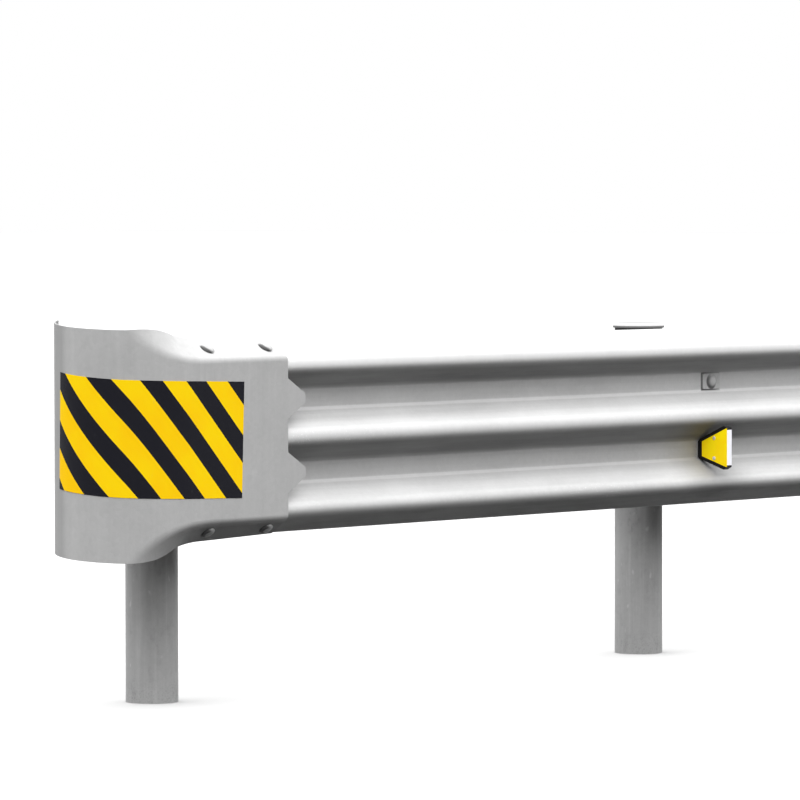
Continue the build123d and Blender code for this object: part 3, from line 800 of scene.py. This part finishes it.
def fasteners(name, spots, tree, keys, values):
    """Run a fastener tree on (place, outward direction) spots and keep the result as a plain mesh."""
    layout = bpy.data.meshes.new(name + "_layout")
    layout.from_pydata([place for place, outward in spots], [], [])
    directions = layout.attributes.new("outward", "FLOAT_VECTOR", "POINT")
    for entry, (place, outward) in zip(directions.data, spots):
        entry.vector = outward
    carrier = bpy.data.objects.new(name + "_layout", layout)
    bpy.context.scene.collection.objects.link(carrier)
    modifier = carrier.modifiers.new("fasteners", "NODES")
    modifier.node_group = tree
    for label, value in values.items():
        modifier[keys[label]] = value
    bpy.context.view_layer.update()
    depsgraph = bpy.context.evaluated_depsgraph_get()
    mesh = bpy.data.meshes.new_from_object(carrier.evaluated_get(depsgraph), depsgraph=depsgraph)
    carrier.modifiers.remove(modifier)
    bpy.data.objects.remove(carrier)
    bpy.data.meshes.remove(layout)
    if not mesh.polygons:
        raise RuntimeError(f"{name} came out empty")
    mesh.name = name
    piece = bpy.data.objects.new(name, mesh)
    bpy.context.scene.collection.objects.link(piece)
    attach(piece, "root")
    return piece


# --- Operators ---
class GUARDRAIL_OT_rail_boards(Operator):
    """Finish the rolled rail boards in galvanised steel"""

    bl_idname = "guardrail.rail_boards"
    bl_label = "Rail boards"

    def execute(self, context):
        zinc = context.scene.guardrail_zinc
        tone = tuple(zinc.rail)
        dress("rail_board", galvanised("rolled_zinc", tone, zinc, (0.9, 105.0, 105.0), 0.42, rail_marks))
        return {"FINISHED"}


class GUARDRAIL_OT_terminal(Operator):
    """Finish the rounded terminal plate in dull galvanised steel"""

    bl_idname = "guardrail.terminal"
    bl_label = "Terminal"

    def execute(self, context):
        zinc = context.scene.guardrail_zinc
        tone = tuple(zinc.terminal)
        finish_made = galvanised("terminal_zinc", tone, zinc, (40.0, 40.0, 1.6), 0.26, terminal_marks)
        dress("terminal_end", finish_made)
        return {"FINISHED"}


class GUARDRAIL_OT_posts(Operator):
    """Finish posts, caps and block-outs in weathered galvanised steel"""

    bl_idname = "guardrail.posts"
    bl_label = "Posts and block-outs"

    def execute(self, context):
        zinc = context.scene.guardrail_zinc
        weathered = galvanised("post_zinc", tuple(zinc.post), zinc, (70.0, 70.0, 2.4), 0.42, post_marks)
        for start in ("post_1", "post_2", "post_3", "post_4", "post_5", "blockout"):
            dress(start, weathered)
        pressed = galvanised("cap_zinc", tuple(zinc.cap), zinc, (45.0, 45.0, 45.0), 0.25, cap_marks)
        dress("post_cap", pressed)
        return {"FINISHED"}


class GUARDRAIL_OT_fasteners(Operator):
    """Finish the post bolts, the rail bolts and their washers"""

    bl_idname = "guardrail.fasteners"
    bl_label = "Post and rail bolts"

    def execute(self, context):
        plating = bolt_plating(context.scene.guardrail_zinc)
        for start in ("rail_bolts", "post_bolts", "bolt_plates", "delineator_foot"):
            dress(start, plating)
        return {"FINISHED"}


class GUARDRAIL_OT_splice_bolts(Operator):
    """Bolt the terminal to the first board and the boards to each other"""

    bl_idname = "guardrail.splice_bolts"
    bl_label = "Splice bolts"

    def execute(self, context):
        sizes = context.scene.guardrail_bolts

        def build(start, size):
            inside = -size["Grip"]
            under = inside - size["Washer thickness"]
            past = under - size["Nut height"]
            return [
                button_head(start, size["Head radius"], size["Head height"]),
                flat_disc(start, size["Washer radius"], inside, size["Washer thickness"]),
                hexagon_nut(start, size["Nut width"], under, size["Nut height"]),
                threaded(start, size["Shank radius"], past, size["Thread end"], size["Thread pitch"]),
                flat_disc(
                    start, size["Shank radius"], start.worked("MULTIPLY", size["Grip"], 0.0), size["Grip"],
                ),
            ]

        distance = "NodeSocketFloat"
        tree, keys = fastener_tree("splice_bolt", {
            "Head radius": (distance, sizes.head_radius),
            "Head height": (distance, sizes.head_height),
            "Shank radius": (distance, sizes.shank_radius),
            "Nut width": (distance, sizes.nut_width),
            "Nut height": (distance, sizes.nut_height),
            "Washer radius": (distance, sizes.washer_radius),
            "Washer thickness": (distance, sizes.washer_height),
            "Grip": (distance, sizes.nest + sizes.plate),
            "Thread end": (distance, sizes.tail),
            "Thread pitch": (distance, sizes.pitch),
            "Turn seed": ("NodeSocketInt", sizes.seed),
            "Finish": ("NodeSocketMaterial", None),
        }, build)
        levels = [row["pos_m"][2] for row in SPLICE_ROWS]
        spots = []
        for row in SPLICE_ROWS:
            outward = Vector(row["axis"])
            reach = row["dims"]["pcd_mm"] / 2000
            outermost = row["pos_m"][2] in (min(levels), max(levels))
            for post in (0, 2):
                if post == 0 and not outermost:
                    continue
                for side in (-reach, reach):
                    place = Vector((POST_MIDDLES[post] + side, row["pos_m"][1], row["pos_m"][2]))
                    spots.append((place + outward * sizes.nest, outward))
        values = {"Finish": bolt_plating(context.scene.guardrail_zinc), "Turn seed": sizes.seed}
        fasteners("splice_bolts", spots, tree, keys, values)
        return {"FINISHED"}


class GUARDRAIL_OT_marking(Operator):
    """Print the striped marking on the terminal's sheet"""

    bl_idname = "guardrail.marking"
    bl_label = "Striped marking"

    def execute(self, context):
        dress("terminal_marking", striped(context.scene.guardrail_sheeting))
        return {"FINISHED"}


class GUARDRAIL_OT_delineator(Operator):
    """Finish the delineator's body, yellow face and white strip"""

    bl_idname = "guardrail.delineator"
    bl_label = "Delineator"

    def execute(self, context):
        sheeting = context.scene.guardrail_sheeting
        lemon = tuple(sheeting.lemon)
        deep = (lemon[0] * 0.97, lemon[1] * 0.9, lemon[2])
        dress("delineator_body", moulded(tuple(sheeting.plastic)))
        dress("delineator_face", reflective("yellow_sheeting", lemon, deep, sheeting, rim=0.0015))
        white = tuple(sheeting.white)
        dress("delineator_strip", reflective("white_sheeting", white, shaded(white, 0.92), sheeting, rim=0.006))
        return {"FINISHED"}


class GUARDRAIL_OT_rivets(Operator):
    """Set the two rivets that hold the delineator's face"""

    bl_idname = "guardrail.rivets"
    bl_label = "Delineator rivets"

    def execute(self, context):
        sizes = context.scene.guardrail_bolts

        def build(start, size):
            return [button_head(start, size["Head radius"], size["Head height"])]

        tree, keys = fastener_tree("marker_rivet", {
            "Head radius": ("NodeSocketFloat", sizes.rivet_radius),
            "Head height": ("NodeSocketFloat", sizes.rivet_height),
            "Turn seed": ("NodeSocketInt", sizes.seed),
            "Finish": ("NodeSocketMaterial", None),
        }, build)
        middle = (MARKER_LOW.z + MARKER_HIGH.z) / 2 - 0.003
        y = MARKER_LOW.y + (MARKER_HIGH.y - MARKER_LOW.y) * 0.51
        half = sizes.rivet_apart / 2
        spots = [(Vector((MARKER_LOW.x, y, middle + side)), Vector((-1, 0, 0))) for side in (-half, half)]
        zinc = context.scene.guardrail_zinc
        bright = galvanised("bright_rivet", tuple(sizes.rivet), zinc, (90.0, 90.0, 90.0), 0.2, rivet_marks)
        fasteners("marker_rivets", spots, tree, keys, {"Finish": bright, "Turn seed": sizes.seed})
        return {"FINISHED"}


class GUARDRAIL_OT_stage(Operator):
    """Lay the pale floor, light it with a soft sky and set up the camera"""

    bl_idname = "guardrail.stage"
    bl_label = "Stage"

    def execute(self, context):
        stage = context.scene.guardrail_stage
        self.lay_floor(context, stage)
        self.light(context, stage)
        self.aim(context, stage)
        return {"FINISHED"}

    def lay_floor(self, context, stage):
        mesh = bpy.data.meshes.new("floor")
        reach = stage.reach
        corners = [(-reach, -reach, 0), (reach, -reach, 0), (reach, reach, 0), (-reach, reach, 0)]
        mesh.from_pydata(corners, [], [(0, 1, 2, 3)])
        floor = bpy.data.objects.new("floor", mesh)
        context.scene.collection.objects.link(floor)
        material = bpy.data.materials.new("pale_floor")
        material.use_nodes = True
        material.node_tree.nodes.clear()
        seen = Wire(material.node_tree).node("ShaderNodeLightPath", {}, {}, "Is Camera Ray")
        seen = (seen + seen.beside("Is Glossy Ray") + seen.beside("Is Transmission Ray")).least(1.0)
        dull = seen.node("ShaderNodeBsdfDiffuse", {}, {"Color": (*stage.bounce, 1.0)})
        pale = seen.node("ShaderNodeBsdfDiffuse", {}, {"Color": (*stage.floor, 1.0)})
        shader = seen.node("ShaderNodeMixShader", {}, {0: seen, 1: dull, 2: pale})
        seen.node("ShaderNodeOutputMaterial", {}, {"Surface": shader})
        mesh.materials.append(material)

    def light(self, context, stage):
        world = bpy.data.worlds.new("soft_sky")
        context.scene.world = world
        world.use_nodes = True
        world.node_tree.nodes.clear()
        way = Wire(world.node_tree).node("ShaderNodeTexCoord", {}, {}, "Generated")
        height = way.axes()[2].step(math.sin(stage.dusk), math.sin(stage.spread))
        level = height * (stage.zenith - stage.horizon) + stage.horizon
        seen = way.node("ShaderNodeLightPath", {}, {}, "Is Camera Ray")
        seen = (seen + seen.beside("Is Glossy Ray") + seen.beside("Is Transmission Ray")).least(1.0)
        level = level * (1 - seen) + seen
        sky = way.node("ShaderNodeBackground", {}, {"Color": (1.0, 1.0, 1.0, 1.0), "Strength": level})
        way.node("ShaderNodeOutputWorld", {}, {"Surface": sky})
        context.scene.view_settings.view_transform = "Standard"

    def aim(self, context, stage):
        lens = bpy.data.cameras.new("camera")
        lens.sensor_width = 36.0
        lens.lens = stage.lens
        lens.clip_end = 500.0
        camera = bpy.data.objects.new("camera", lens)
        context.scene.collection.objects.link(camera)
        ahead = Vector((
            math.sin(stage.heading) * math.cos(stage.tilt),
            math.cos(stage.heading) * math.cos(stage.tilt),
            math.sin(stage.tilt),
        ))
        right = Vector((math.cos(stage.heading), -math.sin(stage.heading), 0))
        up = right.cross(ahead)
        turned_right = right * math.cos(stage.roll) + up * math.sin(stage.roll)
        turned_up = up * math.cos(stage.roll) - right * math.sin(stage.roll)
        aimed = Matrix((turned_right, turned_up, -ahead)).transposed().to_4x4()
        camera.matrix_world = Matrix.Translation(stage.eye) @ aimed
        context.scene.camera = camera


# --- Panel and registration ---
STEPS = (
    GUARDRAIL_OT_rail_boards,
    GUARDRAIL_OT_terminal,
    GUARDRAIL_OT_posts,
    GUARDRAIL_OT_fasteners,
    GUARDRAIL_OT_splice_bolts,
    GUARDRAIL_OT_marking,
    GUARDRAIL_OT_delineator,
    GUARDRAIL_OT_rivets,
    GUARDRAIL_OT_stage,
)
GROUPS = {
    "guardrail_zinc": GuardrailZinc,
    "guardrail_sheeting": GuardrailSheeting,
    "guardrail_bolts": GuardrailBolts,
    "guardrail_stage": GuardrailStage,
}


class GUARDRAIL_PT_builder(Panel):
    """Everything that dresses the guardrail"""

    bl_idname = "GUARDRAIL_PT_builder"
    bl_label = "Guardrail"
    bl_space_type = "VIEW_3D"
    bl_region_type = "UI"
    bl_category = "Guardrail"

    def draw(self, context):
        for attribute, group in GROUPS.items():
            box = self.layout.box()
            box.label(text=group.__name__.removeprefix("Guardrail"))
            for name in group.__annotations__:
                box.prop(getattr(context.scene, attribute), name)
        for step in STEPS:
            self.layout.operator(step.bl_idname)


CLASSES = (*GROUPS.values(), *STEPS, GUARDRAIL_PT_builder)


def register():
    for made in CLASSES:
        bpy.utils.register_class(made)
    for attribute, group in GROUPS.items():
        setattr(bpy.types.Scene, attribute, PointerProperty(type=group))


def unregister():
    for attribute in GROUPS:
        delattr(bpy.types.Scene, attribute)
    for made in reversed(CLASSES):
        bpy.utils.unregister_class(made)


def main():
    register()
    bpy.ops.guardrail.rail_boards()
    bpy.ops.guardrail.terminal()
    bpy.ops.guardrail.posts()
    bpy.ops.guardrail.fasteners()
    bpy.ops.guardrail.splice_bolts()
    bpy.ops.guardrail.marking()
    bpy.ops.guardrail.delineator()
    bpy.ops.guardrail.rivets()
    bpy.ops.guardrail.stage()


if __name__ == "__main__":
    main()
